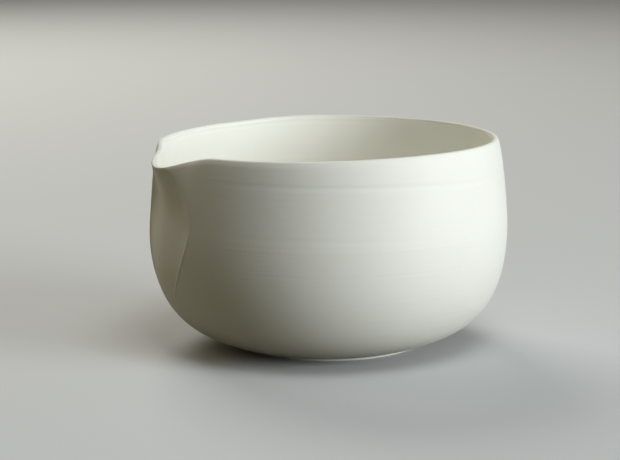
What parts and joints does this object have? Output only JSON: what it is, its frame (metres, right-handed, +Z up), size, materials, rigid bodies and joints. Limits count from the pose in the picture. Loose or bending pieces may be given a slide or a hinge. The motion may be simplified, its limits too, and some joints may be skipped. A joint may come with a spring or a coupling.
{
  "type": "spouted bowl",
  "caption": "Small spouted pouring bowl: thrown matt white porcelain with a pulled lip, a leaf-shaped throat, a low foot ring and a thin clear glaze inside.",
  "frame": {"origin": "centre of the foot ring's underside, on the bowl's turning axis and on the table", "axes": "+Z up, -X towards the spout; the XZ plane is the plane of symmetry"},
  "size_m": [0.1282, 0.128, 0.0745],
  "materials": {
    "bowl_porcelain": "matt, unglazed, smooth with faint throwing rings",
    "spout_porcelain": "matt, unglazed, smooth",
    "foot_porcelain": "matt, unglazed, turned",
    "clear_glaze": "thin clear glaze, satin"
  },
  "bodies": {
    "root": {"bowl_body": "bowl_porcelain", "spout": "spout_porcelain", "foot_ring": "foot_porcelain", "glaze_lining": "clear_glaze"}
  },
  "joints": []
}
